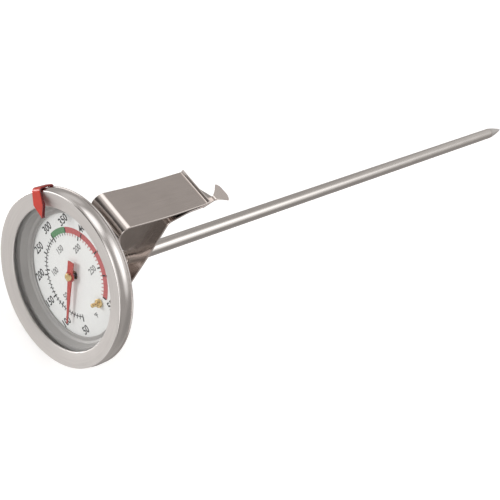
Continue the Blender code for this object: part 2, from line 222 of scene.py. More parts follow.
def add_node(tree, kind, **settings):
    """Add a node; settings are its own properties."""
    node = tree.nodes.new(kind)
    for key, value in settings.items():
        setattr(node, key, value)
    return node


def calculate(tree, operation, first, second=None):
    """A Math node; each input is a socket or a number."""
    node = add_node(tree, "ShaderNodeMath", operation=operation)
    for socket, value in zip(node.inputs, (first, second)):
        if value is None:
            continue
        if isinstance(value, (int, float)):
            socket.default_value = value
        else:
            tree.links.new(value, socket)
    return node.outputs[0]


def place_of(tree, stretch=(1.0, 1.0, 1.0)):
    """Place on the object in the row frame, stretched along each axis."""
    source = add_node(tree, "ShaderNodeTexCoord")
    mapping = add_node(tree, "ShaderNodeMapping")
    mapping.inputs["Scale"].default_value = stretch
    tree.links.new(source.outputs["Object"], mapping.inputs["Vector"])
    return mapping.outputs["Vector"]


def ring_place(tree, across, along, depth):
    """Place in rings round the stem's axis, so that a noise read there is drawn out round them."""
    source = add_node(tree, "ShaderNodeTexCoord")
    parts = add_node(tree, "ShaderNodeSeparateXYZ")
    tree.links.new(source.outputs["Object"], parts.inputs[0])
    east, height = parts.outputs["X"], parts.outputs["Z"]
    square = calculate(tree, "ADD", calculate(tree, "MULTIPLY", east, east),
                       calculate(tree, "MULTIPLY", height, height))
    radius = calculate(tree, "SQRT", square)
    smallest_radius = 0.0001
    reach = calculate(tree, "MAXIMUM", radius, smallest_radius)
    joined = add_node(tree, "ShaderNodeCombineXYZ")
    tree.links.new(calculate(tree, "MULTIPLY", calculate(tree, "DIVIDE", east, reach), along),
                   joined.inputs["X"])
    tree.links.new(calculate(tree, "MULTIPLY", calculate(tree, "DIVIDE", height, reach), along),
                   joined.inputs["Z"])
    deep = calculate(tree, "MULTIPLY", parts.outputs["Y"], depth)
    wide = calculate(tree, "MULTIPLY", radius, across)
    tree.links.new(calculate(tree, "ADD", deep, wide), joined.inputs["Y"])
    return joined.outputs[0]


def noise(tree, place, scale, detail=3.0, roughness=0.55):
    """A noise pattern's value."""
    node = add_node(tree, "ShaderNodeTexNoise")
    node.inputs["Scale"].default_value = scale
    node.inputs["Detail"].default_value = detail
    node.inputs["Roughness"].default_value = roughness
    tree.links.new(place, node.inputs["Vector"])
    return node.outputs["Fac"]


def spread(tree, value, low, high):
    """Bring a pattern's value into a range."""
    node = add_node(tree, "ShaderNodeMapRange")
    node.inputs["From Min"].default_value = 0.3
    node.inputs["From Max"].default_value = 0.7
    node.inputs["To Min"].default_value = low
    node.inputs["To Max"].default_value = high
    tree.links.new(value, node.inputs["Value"])
    return node.outputs["Result"]


def shade_between(tree, value, dark, light, socket):
    """Colour a socket between two colours by a pattern's value."""
    ramp = add_node(tree, "ShaderNodeValToRGB")
    ramp.color_ramp.elements[0].position = 0.3
    ramp.color_ramp.elements[0].color = (*dark, 1.0)
    ramp.color_ramp.elements[1].position = 0.7
    ramp.color_ramp.elements[1].color = (*light, 1.0)
    tree.links.new(value, ramp.inputs["Fac"])
    tree.links.new(ramp.outputs["Color"], socket)


def add_bump(tree, shader, value, height, strength=1.0):
    """Raise the surface by a pattern; height is in metres."""
    bump = add_node(tree, "ShaderNodeBump")
    bump.inputs["Strength"].default_value = strength
    bump.inputs["Distance"].default_value = height
    tree.links.new(value, bump.inputs["Height"])
    tree.links.new(bump.outputs["Normal"], shader.inputs["Normal"])


def tinted(colour, share):
    """A colour made darker or lighter by a share."""
    return tuple(min(part * share, 1.0) for part in colour)


def turned_steel(name, colour, roughness, across=2600.0, depth=2600.0, along=2.2, height=0.000012):
    """Steel brushed or ground in rings round the stem's axis."""
    material, tree, shader = new_material(name, colour, 1.0, roughness)
    lines = noise(tree, ring_place(tree, across, along, depth), 1.0)
    clouds = noise(tree, place_of(tree), 90.0, 2.0)
    mixed = calculate(tree, "ADD", calculate(tree, "MULTIPLY", lines, 0.6),
                      calculate(tree, "MULTIPLY", clouds, 0.4))
    shade_between(tree, mixed, tinted(colour, 0.9), tinted(colour, 1.06), shader.inputs["Base Color"])
    tree.links.new(spread(tree, mixed, roughness * 0.8, roughness * 1.2), shader.inputs["Roughness"])
    add_bump(tree, shader, lines, height, 0.5)
    return material


def drawn_steel(name, colour, roughness, stretch, contrast=0.05, height=0.000005):
    """Steel with fine lines along one direction, which is the axis that is stretched least."""
    material, tree, shader = new_material(name, colour, 1.0, roughness)
    lines = noise(tree, place_of(tree, stretch), 1.0)
    clouds = noise(tree, place_of(tree), 120.0, 2.0)
    mixed = calculate(tree, "ADD", calculate(tree, "MULTIPLY", lines, 0.55),
                      calculate(tree, "MULTIPLY", clouds, 0.45))
    dark = tinted(colour, 1.0 - contrast)
    light = tinted(colour, 1.0 + contrast * 0.7)
    shade_between(tree, mixed, dark, light, shader.inputs["Base Color"])
    tree.links.new(spread(tree, mixed, roughness * 0.85, roughness * 1.2), shader.inputs["Roughness"])
    add_bump(tree, shader, lines, height, 0.5)
    return material


def speckled(name, colour, metallic, roughness, scale, contrast=0.05, height=0.000006):
    """Paint, enamel, ink, plastic or brass with a fine mottled surface."""
    material, tree, shader = new_material(name, colour, metallic, roughness)
    grain = noise(tree, place_of(tree), scale, 4.0)
    dark = tinted(colour, 1.0 - contrast)
    light = tinted(colour, 1.0 + contrast)
    shade_between(tree, grain, dark, light, shader.inputs["Base Color"])
    tree.links.new(spread(tree, grain, roughness * 0.85, roughness * 1.2), shader.inputs["Roughness"])
    add_bump(tree, shader, grain, height, 0.4)
    return material


def clear_glass(name):
    """Thin window glass: nearly all light passes, and a little gloss stays."""
    material, tree, shader = new_material(name, (0.3, 0.31, 0.31), 0.0, 0.03)
    shader.inputs["Alpha"].default_value = 0.05
    shader.inputs["IOR"].default_value = 1.5
    wipe = noise(tree, place_of(tree), 60.0, 2.0)
    tree.links.new(spread(tree, wipe, 0.02, 0.07), shader.inputs["Roughness"])
    return material


# ---------------------------------------------------------------- shapes

def finished(name, builder, material, body, crease=32.0):
    """Make a bmesh an object that rides on a body, smooth except at its creases."""
    bmesh.ops.remove_doubles(builder, verts=builder.verts, dist=0.0000005)
    bmesh.ops.dissolve_degenerate(builder, edges=builder.edges, dist=0.0000002)
    bmesh.ops.recalc_face_normals(builder, faces=builder.faces)
    mesh = bpy.data.meshes.new(name)
    builder.to_mesh(mesh)
    builder.free()
    mesh.shade_smooth()
    mesh.set_sharp_from_angle(angle=math.radians(crease))
    mesh.materials.append(material)
    piece = bpy.data.objects.new(name, mesh)
    bpy.context.scene.collection.objects.link(piece)
    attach(piece, body)
    return piece


def arc(centre, radius, start, end, steps):
    """Points of an arc in a flat outline, from one angle to another in degrees."""
    points = []
    for index in range(steps + 1):
        angle = math.radians(start + (end - start) * index / steps)
        points.append((centre[0] + radius * math.cos(angle), centre[1] + radius * math.sin(angle)))
    return points


def turned(outline, steps=HEAD_STEPS, spot=(0.0, 0.0)):
    """A bmesh of a closed (radius, depth) outline turned round an axis along Y at a spot (x, z)."""
    builder = bmesh.new()
    rings = []
    for step in range(steps):
        angle = math.tau * step / steps
        ring = []
        for radius, depth in outline:
            x = spot[0] + radius * math.cos(angle)
            z = spot[1] + radius * math.sin(angle)
            ring.append(builder.verts.new((x * MM, depth * MM, z * MM)))
        rings.append(ring)
    for step in range(steps):
        ring = rings[step]
        following = rings[(step + 1) % steps]
        for index in range(len(outline)):
            other = (index + 1) % len(outline)
            corners = (ring[index], ring[other], following[other], following[index])
            builder.faces.new(corners)
    return builder


def tube_outline(inner, outer, start, end, edge=0.06):
    """The outline of a tube with slightly broken edges."""
    return [
        (inner, start + edge), (inner + edge, start), (outer - edge, start), (outer, start + edge),
        (outer, end - edge), (outer - edge, end), (inner + edge, end), (inner, end - edge),
    ]


def rod_outline(profile):
    """Close a rod's outer profile, given front to back, along the axis."""
    return [(0.0, profile[0][1])] + profile + [(0.0, profile[-1][1])]


def on_dial(radius, angle):
    """(x, z) of a place on the dial."""
    return (radius * math.cos(math.radians(angle)), radius * math.sin(math.radians(angle)))


def rounded_path(corners, steps=10):
    """Points of a polyline whose corners given as (a, b, radius) are arcs, the rest as they are."""
    points = [Vector(corners[0][:2])]
    for before, corner, after in zip(corners, corners[1:], corners[2:]):
        here = Vector(corner[:2])
        if len(corner) == 2:
            points.append(here)
            continue
        inward = (Vector(before[:2]) - here).normalized()
        outward = (Vector(after[:2]) - here).normalized()
        half_opening = inward.angle(outward) / 2
        reach = corner[2] / math.tan(half_opening)
        centre = here + (inward + outward).normalized() * corner[2] / math.sin(half_opening)
        first = here + inward * reach - centre
        turn = first.angle_signed(here + outward * reach - centre)
        for index in range(steps + 1):
            points.append(centre + Matrix.Rotation(-turn * index / steps, 2) @ first)
    points.append(Vector(corners[-1][:2]))
    return points


def split_long_steps(points, largest):
    """Add points, so that no step of a path is longer than the largest."""
    result = [points[0]]
    for before, after in zip(points, points[1:]):
        pieces = max(1, math.ceil((after - before).length / largest))
        for index in range(1, pieces + 1):
            result.append(before.lerp(after, index / pieces))
    return result


def path_lengths(points):
    """Distance along a path at each of its points."""
    lengths = [0.0]
    for start, end in zip(points, points[1:]):
        lengths.append(lengths[-1] + (end - start).length)
    return lengths


def lofted(points, sections, axes):
    """A bmesh of a strip that follows a flat path.

    sections holds, for each point, the strip's outline as (across, offset) pairs; axes are the world
    directions of the path's first and second coordinates and of the strip's width.
    """
    first_axis, second_axis, width_axis = (Vector(axis) for axis in axes)
    builder = bmesh.new()
    rings = []
    last = len(points) - 1
    for index, point in enumerate(points):
        before = points[max(index - 1, 0)]
        after = points[min(index + 1, last)]
        incoming = (point - before).normalized() if index else (after - point).normalized()
        outgoing = (after - point).normalized() if index < last else incoming
        along = (incoming + outgoing).normalized()
        side = Vector((-along.y, along.x)) / max(along.dot(incoming), 0.5)
        ring = []
        for across, offset in sections[index]:
            spot = point + side * offset
            place = first_axis * spot.x + second_axis * spot.y + width_axis * across
            ring.append(builder.verts.new(place * MM))
        rings.append(ring)
    for ring, following in zip(rings, rings[1:]):
        for index in range(len(ring)):
            other = (index + 1) % len(ring)
            builder.faces.new((ring[index], ring[other], following[other], following[index]))
    builder.faces.new(rings[0])
    builder.faces.new(rings[-1])
    return builder


def cut_away(piece, cutter_builder):
    """Cut a closed shape out of a piece for good."""
    mesh = bpy.data.meshes.new("cutter")
    bmesh.ops.recalc_face_normals(cutter_builder, faces=cutter_builder.faces)
    cutter_builder.to_mesh(mesh)
    cutter_builder.free()
    cutter = bpy.data.objects.new("cutter", mesh)
    bpy.context.scene.collection.objects.link(cutter)
    boolean = piece.modifiers.new("cut", "BOOLEAN")
    boolean.operation = "DIFFERENCE"
    boolean.solver = "EXACT"
    boolean.object = cutter
    shaped = bpy.data.meshes.new_from_object(piece.evaluated_get(bpy.context.evaluated_depsgraph_get()))
    piece.modifiers.clear()
    piece.data = shaped
    bpy.data.objects.remove(cutter, do_unlink=True)


# ---------------------------------------------------------------- head

def make_bezel(brushed, polished):
    """Front ring: rolled opening, brushed face, tight fold, crowned polished side and back bead."""
    wall = BEZEL_RADIUS - SHEET - 0.2
    lip_front = BEZEL_BACK - SHEET
    hem_centre = (OPENING_RADIUS + BEZEL_HEM, BEZEL_HEM_DEPTH)
    fold_centre = (BEZEL_RADIUS - BEZEL_FOLD_INSET, BEZEL_FRONT + BEZEL_FOLD)
    crown_centre = (BEZEL_RADIUS - BEZEL_CROWN, BEZEL_CROWN_DEPTH)
    bead_centre = (BEZEL_RADIUS - BEZEL_BEAD_INSET, BEZEL_BACK - BEZEL_BEAD)
    outline = arc(hem_centre, BEZEL_HEM, 100, 262, 10)
    outline += arc(fold_centre, BEZEL_FOLD, -98, -38, 6)
    outline += arc(crown_centre, BEZEL_CROWN, -BEZEL_CROWN_HALF_ANGLE, BEZEL_CROWN_HALF_ANGLE, 20)
    outline += arc(bead_centre, BEZEL_BEAD, -50, 90, 10)
    outline += [
        (BEZEL_LIP_RADIUS, BEZEL_BACK),
        (BEZEL_LIP_RADIUS, lip_front),
        (wall - 0.2, lip_front),
        (wall, lip_front - 0.4),
        (wall, BEZEL_FRONT + 1.4),
        (wall - 0.9, BEZEL_FRONT + SHEET),
    ]
    piece = finished("bezel", turned(outline), brushed, "head")
    piece.data.materials.append(polished)
    face_edge = (BEZEL_RADIUS - BEZEL_FOLD_INSET) * MM
    for polygon in piece.data.polygons:
        if math.hypot(polygon.center.x, polygon.center.z) > face_edge:
            polygon.material_index = 1
    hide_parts("bezel_ring")


def make_lens(glass):
    """Clear window with a ground edge."""
    front = [(LENS_FACE_RADIUS, 0.0), (LENS_RADIUS, GAP)]
    outline = rod_outline(front + [(LENS_RADIUS, LENS_THICKNESS)])
    piece = finished("window_glass", turned(outline), glass, "head", 20.0)
    piece.visible_shadow = False
    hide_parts("lens")


def make_inner_ring(aluminium):
    """Sloping wall between the window and the dial, with a pale rolled lip over the dial's edge."""
    front = LENS_THICKNESS + GAP
    back = front + SPACER_SHEET
    lip_back = DIAL_FRONT - GAP
    outline = [(SPACER_RADIUS, front), (24.0, front), (23.72, front + 0.1), (22.95, 4.3)]
    outline += arc((22.45, 5.05), 0.3, 250, 200, 4)
    outline += [
        (VISIBLE_DIAL_RADIUS + 0.12, 4.87),
        (VISIBLE_DIAL_RADIUS, 4.97),
        (VISIBLE_DIAL_RADIUS, lip_back),
        (22.6, lip_back),
        (23.2, 4.6),
        (24.1, back),
        (SPACER_RADIUS, back),
    ]
    piece = finished("inner_ring", turned(outline), aluminium, "head")
    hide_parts("spacer_ring")


def make_dial(enamel):
    """Flat round plate that carries the print."""
    outline = tube_outline(DIAL_HOLE_RADIUS, DIAL_RADIUS, DIAL_FRONT, DIAL_FRONT + DIAL_THICKNESS, 0.05)
    piece = finished("dial_face", turned(outline), enamel, "head")
    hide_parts("dial_plate")


def make_case(steel):
    """Pressed cup behind the bezel, with a stamped bead on its back."""
    corner_radius = CASE_RADIUS - CASE_CORNER
    corner_depth = CASE_BACK - CASE_CORNER
    inner_back = CASE_BACK - CASE_SHEET
    lip_back = CASE_LIP + CASE_SHEET
    bead_top = DIAL_FRONT + DIAL_THICKNESS + GAP
    outline = [(CASE_LIP_RADIUS, CASE_LIP), (CASE_RADIUS - CASE_SHEET, CASE_LIP)]
    outline += arc((corner_radius, corner_depth), CASE_CORNER - CASE_SHEET, 0, 90, 14)
    outline += [(20.6, inner_back), (20.2, bead_top), (18.8, bead_top), (18.4, inner_back)]
    outline += [(3.4, inner_back), (3.4, CASE_BACK - 0.1), (3.5, CASE_BACK)]
    outline += arc((18.55, CASE_BACK - 0.25), 0.25, 90, 20, 4)
    outline += arc((19.5, inner_back + 0.3), 0.55, 215, 325, 8)
    outline += arc((20.45, CASE_BACK - 0.25), 0.25, 160, 90, 4)
    outline += arc((corner_radius, corner_depth), CASE_CORNER, 90, 0, 14)
    outline += [(CASE_RADIUS, lip_back), (CASE_LIP_RADIUS, lip_back)]
    piece = finished("case_back", turned(outline), steel, "head")
    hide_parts("case_cup")


def make_collar(steel):
    """Flanged bush that joins the stem to the case's back."""
    bore = STEM_RADIUS + GAP
    flange_front = CASE_BACK + GAP
    outline = [(bore, 6.3), (3.1, 6.3), (3.1, flange_front)]
    outline += arc((4.1, flange_front + 0.1), 0.1, -90, 0, 3)
    outline += arc((3.7, COLLAR_END - 0.5), 0.5, 0, 90, 8)
    outline += [(bore + 0.1, COLLAR_END), (bore, COLLAR_END - 0.1)]
    piece = finished("stem_socket", turned(outline, 96), steel, "head")
    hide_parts("stem_collar")


def make_stem(steel, tip_steel):
    """Probe tube and the ground point that closes it."""
    cone_start = STEM_POINT - CONE_LENGTH
    tube = tube_outline(STEM_BORE, STEM_RADIUS, STEM_START, cone_start - GAP, 0.08)
    piece = finished("probe_tube", turned(tube, ROD_STEPS), steel, "head")
    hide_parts("stem_tube")
    shoulder = STEM_RADIUS - 0.15
    plug = [
        (STEM_BORE - GAP, cone_start - 6.8),
        (STEM_BORE - GAP, cone_start),
        (STEM_RADIUS - 0.08, cone_start),
        (STEM_RADIUS, cone_start + 0.08),
        (STEM_RADIUS - 0.04, cone_start + 0.6),
        (shoulder, cone_start + SHOULDER_LENGTH),
    ]
    taper_length = CONE_LENGTH - SHOULDER_LENGTH - BLUNT_LENGTH
    for share in (0.15, 0.3, 0.5, 0.7, 0.85):
        bulge = 0.12 * math.sin(math.pi * share)
        radius = shoulder + (BLUNT_RADIUS - shoulder) * share + bulge
        plug.append((radius, cone_start + SHOULDER_LENGTH + taper_length * share))
    plug += [(BLUNT_RADIUS, STEM_POINT - BLUNT_LENGTH), (0.33, STEM_POINT - 0.13), (0.12, STEM_POINT)]
    piece = finished("probe_point", turned(rod_outline(plug), ROD_STEPS), tip_steel, "head")
    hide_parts("stem_tip")


def make_stop_pin(brass):
    """Upright pin that the pointer stops against, on a round foot."""
    profile = [(0.4, STOP_PIN_FRONT)]
    profile += arc((0.5, STOP_PIN_FRONT + 0.2), 0.2, -60, 0, 4)
    profile += [(0.7, 4.3), (0.85, 4.5)]
    profile += arc((1.3, 4.75), 0.2, -70, 0, 4)
    profile += [(1.5, DIAL_FRONT - GAP)]
    spot = on_dial(STOP_PIN_RADIUS, STOP_PIN_ANGLE)
    piece = finished("stop_peg", turned(rod_outline(profile), 48, spot), brass, "head")
    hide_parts("stop_pin")


# ---------------------------------------------------------------- print on the dial

def dial_angle(fahrenheit):
    """Angle of a temperature on the dial."""
    return SCALE_TOP_ANGLE - (fahrenheit - SCALE_TOP_VALUE) * DEGREES_PER_UNIT


def to_fahrenheit(celsius):
    """The same temperature in Fahrenheit."""
    return celsius * 1.8 + 32.0


def flat_corner(builder, radius, angle):
    """A printed corner just in front of the dial."""
    x, z = on_dial(radius, angle)
    return builder.verts.new((x * MM, (DIAL_FRONT - PRINT_LIFT) * MM, z * MM))


def printed_band(builder, inner, outer, start, end):
    """A printed stretch of ring between two angles."""
    steps = max(1, math.ceil(abs(end - start) / BAND_STEP))
    previous = None
    for index in range(steps + 1):
        angle = start + (end - start) * index / steps
        pair = (flat_corner(builder, inner, angle), flat_corner(builder, outer, angle))
        if previous:
            builder.faces.new((previous[0], previous[1], pair[1], pair[0]))
        previous = pair


def printed_tick(builder, inner, outer, angle, width):
    """A short printed line across the scale, over the other print."""
    depth = DIAL_FRONT - PRINT_LIFT * 2
    direction = Vector(on_dial(1.0, angle))
    across = Vector((-direction.y, direction.x)) * width / 2
    corners = []
    for radius, side in ((inner, -1), (outer, -1), (outer, 1), (inner, 1)):
        spot = direction * radius + across * side
        corners.append(builder.verts.new((spot.x * MM, depth * MM, spot.y * MM)))
    builder.faces.new(corners)


def print_piece(name, builder, ink):
    """A flat print that lies on the dial and faces the front."""
    piece = finished(name, builder, ink, "head", 60.0)
    facing = bmesh.new()
    facing.from_mesh(piece.data)
    for face in facing.faces:
        if face.normal.y > 0:
            face.normal_flip()
    facing.to_mesh(piece.data)
    facing.free()


def make_scale(black, green, red):
    """Thin scale circle, ticks on both sides, and the green and red range bands."""
    lines = bmesh.new()
    start = dial_angle(SCALE_START)
    band_start = dial_angle(GREEN_START)
    inside = SCALE_RADIUS - SCALE_LINE_HALF_WIDTH
    outside = SCALE_RADIUS + SCALE_LINE_HALF_WIDTH
    printed_band(lines, inside, outside, start, band_start)
    for value in range(SCALE_START, SCALE_END + 1, 10):
        whole = value % 50 == 0
        if value > GREEN_START and not whole:
            continue
        outer = SCALE_RADIUS + (OUTER_WHOLE_TICK if whole else OUTER_TICK)
        width = WHOLE_TICK_WIDTH if whole else TICK_WIDTH
        printed_tick(lines, SCALE_RADIUS, outer, dial_angle(value), width)
    teeth = bmesh.new()
    for value in range(CELSIUS_START, CELSIUS_END + 1, 5):
        whole = value % 50 == 0
        fahrenheit = to_fahrenheit(value)
        inner = SCALE_RADIUS - (INNER_WHOLE_TICK if whole else INNER_TICK)
        width = WHOLE_TICK_WIDTH if whole else TICK_WIDTH
        builder = teeth if fahrenheit > GREEN_END and not whole else lines
        printed_tick(builder, inner, SCALE_RADIUS, dial_angle(fahrenheit), width)
    green_band = bmesh.new()
    printed_band(green_band, SCALE_RADIUS, BAND_OUTER_RADIUS, band_start, dial_angle(GREEN_END))
    printed_band(teeth, SCALE_RADIUS, BAND_OUTER_RADIUS, dial_angle(GREEN_END), dial_angle(SCALE_END))
    print_piece("scale_lines", lines, black)
    print_piece("range_band_green", green_band, green)
    print_piece("range_band_red", teeth, red)


def add_text(builder, text, spot, height):
    """Add a text's outline, upright on the dial and centred on a spot (x, z), to a bmesh."""
    curve = bpy.data.curves.new("text", "FONT")
    curve.body = text
    curve.align_x = "CENTER"
    curve.align_y = "CENTER"
    curve.offset = TEXT_BOLDNESS
    curve.resolution_u = 4
    writing = bpy.data.objects.new("text", curve)
    bpy.context.scene.collection.objects.link(writing)
    bpy.context.view_layer.update()
    mesh = bpy.data.meshes.new_from_object(writing.evaluated_get(bpy.context.evaluated_depsgraph_get()))
    bpy.data.objects.remove(writing, do_unlink=True)
    corners = [vertex.co for vertex in mesh.vertices]
    low = Vector((min(c.x for c in corners), min(c.y for c in corners)))
    high = Vector((max(c.x for c in corners), max(c.y for c in corners)))
    middle = (low + high) / 2
    size = height / (high.y - low.y)
    up = Vector(on_dial(1.0, SCALE_TOP_ANGLE))
    right = Vector((up.y, -up.x))
    for vertex in mesh.vertices:
        local = (vertex.co.xy - middle) * size
        place = Vector(spot) + right * local.x * TEXT_NARROWING + up * local.y
        vertex.co = Vector((place.x * MM, (DIAL_FRONT - PRINT_LIFT) * MM, place.y * MM))
    builder.from_mesh(mesh)


def make_numbers(black, grey):
    """Upright numbers of both scales, and the Fahrenheit mark."""
    outer = bmesh.new()
    for value in range(SCALE_START, SCALE_END + 1, 50):
        spot = on_dial(OUTER_NUMBERS_RADIUS, dial_angle(value))
        add_text(outer, str(value), spot, OUTER_NUMBERS_HEIGHT)
    add_text(outer, "°F", on_dial(UNIT_MARK_RADIUS, UNIT_MARK_ANGLE), UNIT_MARK_HEIGHT)
    inner = bmesh.new()
    for value in range(50, 251, 50):
        spot = on_dial(INNER_NUMBERS_RADIUS, dial_angle(to_fahrenheit(value)))
        add_text(inner, str(value), spot, INNER_NUMBERS_HEIGHT)
    print_piece("numbers_fahrenheit", outer, black)
    print_piece("numbers_celsius", inner, grey)


# ---------------------------------------------------------------- pointer

def make_pointer(red, brass):
    """Flat painted pointer with a wide tail, and the brass bush that clamps it."""
    half_tail = POINTER_TAIL_HALF_WIDTH
    outline = [(-POINTER_TAIL, half_tail), (-POINTER_TAIL, -half_tail)]
    outline += arc((0, 0), POINTER_EYE_RADIUS, -137, -30, 12)
    outline += [(POINTER_LENGTH - 0.4, -0.2), (POINTER_LENGTH, 0.0), (POINTER_LENGTH - 0.4, 0.2)]
    outline += arc((0, 0), POINTER_EYE_RADIUS, 30, 137, 12)
    angle = dial_angle(SHOWN_VALUE)
    direction = Vector(on_dial(1.0, angle))
    across = Vector((-direction.y, direction.x))
    builder = bmesh.new()
    corners = []
    for forward, side in outline:
        spot = direction * forward + across * side
        corners.append(builder.verts.new((spot.x * MM, POINTER_FRONT * MM, spot.y * MM)))
    face = builder.faces.new(corners)
    swept = bmesh.ops.extrude_face_region(builder, geom=[face])
    moved = [part for part in swept["geom"] if isinstance(part, bmesh.types.BMVert)]
    bmesh.ops.translate(builder, verts=moved, vec=(0.0, POINTER_SHEET * MM, 0.0))
    piece = finished("pointer_needle", builder, red, "pointer")
    hole = [(POINTER_HOLE_RADIUS, POINTER_FRONT - 0.45), (POINTER_HOLE_RADIUS, POINTER_FRONT + 0.85)]
    cut_away(piece, turned(rod_outline(hole), 48))
    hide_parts("pointer")
    head_back = POINTER_FRONT - GAP
    profile = [(0.9, HUB_FRONT)]
    profile += arc((1.1, HUB_FRONT + 0.25), 0.25, -80, 0, 5)
    profile += [(1.35, head_back), (0.75, head_back), (0.75, 4.5)]
    bush = finished("pointer_bush", turned(rod_outline(profile), 48), brass, "pointer")
    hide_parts("pointer_hub")


# ---------------------------------------------------------------- rim marker and pan clip

def marker_half_width(length):
    """Half of the rim marker's width, by the distance to its point."""
    if length <= MARKER_ARROW:
        return MARKER_HALF_WIDTH * length / MARKER_ARROW
    if length <= MARKER_FOLD:
        share = (length - MARKER_ARROW) / (MARKER_FOLD - MARKER_ARROW)
        return MARKER_HALF_WIDTH + (MARKER_FOLD_HALF_WIDTH - MARKER_HALF_WIDTH) * share
    share = min((length - MARKER_FOLD) / MARKER_FOLD, 1.0)
    return MARKER_FOLD_HALF_WIDTH + (MARKER_HOOK_HALF_WIDTH - MARKER_FOLD_HALF_WIDTH) * share


def make_rim_marker(red_plastic, painted_shade_plastic):
    """Thick moulded arrow, hooked over the bezel's rim and a little askew on it; its side walls take a
    darker red copy of its plastic, which is painted shade.
    """
    inner_front = BEZEL_FRONT - GAP
    inner_side = BEZEL_RADIUS + MARKER_PLAY
    inner_back = BEZEL_BACK + MARKER_PLAY
    corners = [
        (MARKER_POINT_RADIUS, inner_front),
        (28.2, inner_front),
        (inner_side, inner_front, 1.0),
        (inner_side, inner_back, 0.5),
        (MARKER_HOOK_END_RADIUS, inner_back),
    ]
    points = split_long_steps(rounded_path(corners, 8), MARKER_STEP)
    edge = MARKER_EDGE
    sections = []
    for length in path_lengths(points):
        width = max(marker_half_width(length), edge + 0.02)
        share = min(max(length - MARKER_ARROW, 0.0) / (MARKER_FOLD - MARKER_ARROW), 1.0)
        thick = MARKER_THICKNESS + (MARKER_HOOK_THICKNESS - MARKER_THICKNESS) * share
        middle = (length - MARKER_FOLD) * MARKER_LEAN
        left = middle - width
        right = middle + width
        sections.append([
            (left, 0.0), (right, 0.0), (right, edge - thick),
            (right - edge, -thick), (left + edge, -thick), (left, edge - thick),
        ])
    turn = math.radians(MARKER_ANGLE)
    outward = Vector((math.cos(turn), 0.0, math.sin(turn)))
    sideways = Vector((-math.sin(turn), 0.0, math.cos(turn)))
    builder = lofted(points, sections, (outward, (0, 1, 0), sideways))
    piece = finished("marker_arrow", builder, red_plastic, "rim_marker", 25.0)
    piece.data.materials.append(painted_shade_plastic)
    # Faces that look sideways get the darker red material: painted shade on the marker's side walls
    side_facing = 0.8
    for polygon in piece.data.polygons:
        if abs(polygon.normal.dot(sideways)) > side_facing:
            polygon.material_index = 1
    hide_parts("rim_marker")


def clip_half_width(from_end):
    """Half of the clip strip's width, by the distance to the thumb tab's end."""
    full = CLIP_WIDTH / 2
    neck = CLIP_NECK_HALF_WIDTH
    flare = CLIP_TAB_HALF_WIDTH
    crown = CLIP_TAB_ROUNDING
    if from_end >= CLIP_TAB_LENGTH + CLIP_TAPER_LENGTH:
        return full
    if from_end >= CLIP_TAB_LENGTH:
        return neck + (full - neck) * (from_end - CLIP_TAB_LENGTH) / CLIP_TAPER_LENGTH
    if from_end >= crown:
        share = (CLIP_TAB_LENGTH - from_end) / (CLIP_TAB_LENGTH - crown)
        return neck + (flare - neck) * share ** CLIP_TAB_FLARE_POWER
    beyond = (crown - from_end) / (crown + CLIP_TAB_BLUNTNESS)
    return flare * math.sqrt(max(1.0 - beyond ** 2, 0.0))


def make_pan_clip(steel):
    """Bent spring strip: curled plate, two legs with stem holes, pressing strip and thumb tab."""
    corners = [
        (45.3, 30.5),
        (45.0, 29.45, 0.7),
        (26.2, 28.9, 200.0),
        (5.0, 30.0, 3.0),
        (9.6, 20.8, 6.0),
        (11.2, -7.5, 1.8),
        (26.6, -7.5, 1.8),
        (28.15, 9.0, 60.0),
        (28.95, 25.2, 1.6),
        (36.7, 27.8, 12.0),
        (43.4, 28.3, 2.5),
        (60.5, 19.2, 1.6),
        (64.2, 22.25),
    ]
    points = split_long_steps(rounded_path(corners, 14), CLIP_STEP)
    tab = split_long_steps(points[-CLIP_TAB_POINTS:], CLIP_TAB_STEP)
    points = points[:-CLIP_TAB_POINTS] + tab
    lengths = path_lengths(points)
    thick = CLIP_SHEET / 2
    edge = CLIP_EDGE
    sections = []
    for length in lengths:
        width = max(clip_half_width(lengths[-1] - length), edge)
        rounded = min(edge, width * 0.5)
        sections.append([
            (-width, -thick + edge), (-width + rounded, -thick), (width - rounded, -thick),
            (width, -thick + edge), (width, thick - edge), (width - rounded, thick),
            (-width + rounded, thick), (-width, thick - edge),
        ])
    builder = lofted(points, sections, ((0, 1, 0), (0, 0, 1), (1, 0, 0)))
    piece = finished("pan_clip_strip", builder, steel, "pan_clip", 35.0)
    hole = [(CLIP_HOLE, depth) for depth in CLIP_HOLE_SPAN]
    cut_away(piece, turned(rod_outline(hole), ROD_STEPS))
    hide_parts("pan_clip")


# ---------------------------------------------------------------- studio

def add_camera():
    """Camera at the angle the object is shown from."""
    data = bpy.data.cameras.new("camera")
    data.lens = CAMERA_LENS
    data.sensor_width = SENSOR_WIDTH
    data.clip_start = 0.01
    camera = bpy.data.objects.new("camera", data)
    camera.location = CAMERA_PLACE
    camera.rotation_euler = [math.radians(angle) for angle in CAMERA_TURN]
    bpy.context.scene.collection.objects.link(camera)
    bpy.context.scene.camera = camera


def add_soft_light(name, towards, distance, size, power):
    """A square soft light in a direction from the head, facing it."""
    data = bpy.data.lights.new(name, "AREA")
    data.shape = "SQUARE"
    data.size = size
    data.energy = power
    light = bpy.data.objects.new(name, data)
    direction = Vector(towards).normalized()
    light.location = direction * distance
    light.rotation_euler = direction.to_track_quat("Z", "Y").to_euler()
    bpy.context.scene.collection.objects.link(light)
    return light


